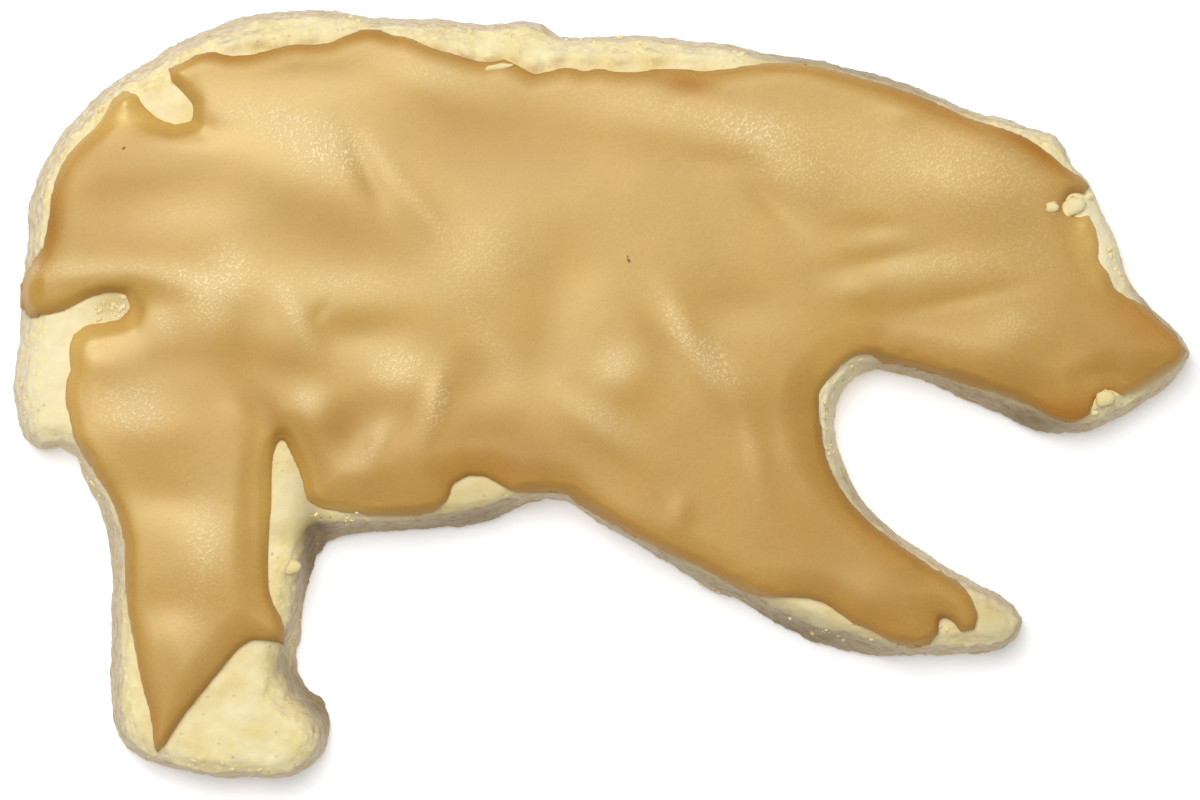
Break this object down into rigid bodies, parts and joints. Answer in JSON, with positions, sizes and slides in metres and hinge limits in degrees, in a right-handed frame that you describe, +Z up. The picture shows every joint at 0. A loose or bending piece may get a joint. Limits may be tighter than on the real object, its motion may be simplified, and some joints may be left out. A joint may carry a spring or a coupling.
{
  "type": "iced animal biscuit",
  "caption": "Flat sugar biscuit cut out as a walking bear seen from the side, with a poured caramel icing that leaves parts of the pale dough bare.",
  "frame": {"origin": "middle of the biscuit's bounding box, on the surface that it lies on", "axes": "+X to the bear's nose, +Y to its back, +Z up through the iced face"},
  "size_m": [0.1178, 0.0766, 0.0094],
  "materials": {
    "baked_dough": "pale, dry, finely crumbly baked dough with a greyer cut side",
    "caramel_icing": "smooth satin caramel icing, darker along its rounded rim"
  },
  "bodies": {
    "root": {"biscuit": "baked_dough", "icing": "caramel_icing"}
  },
  "joints": []
}
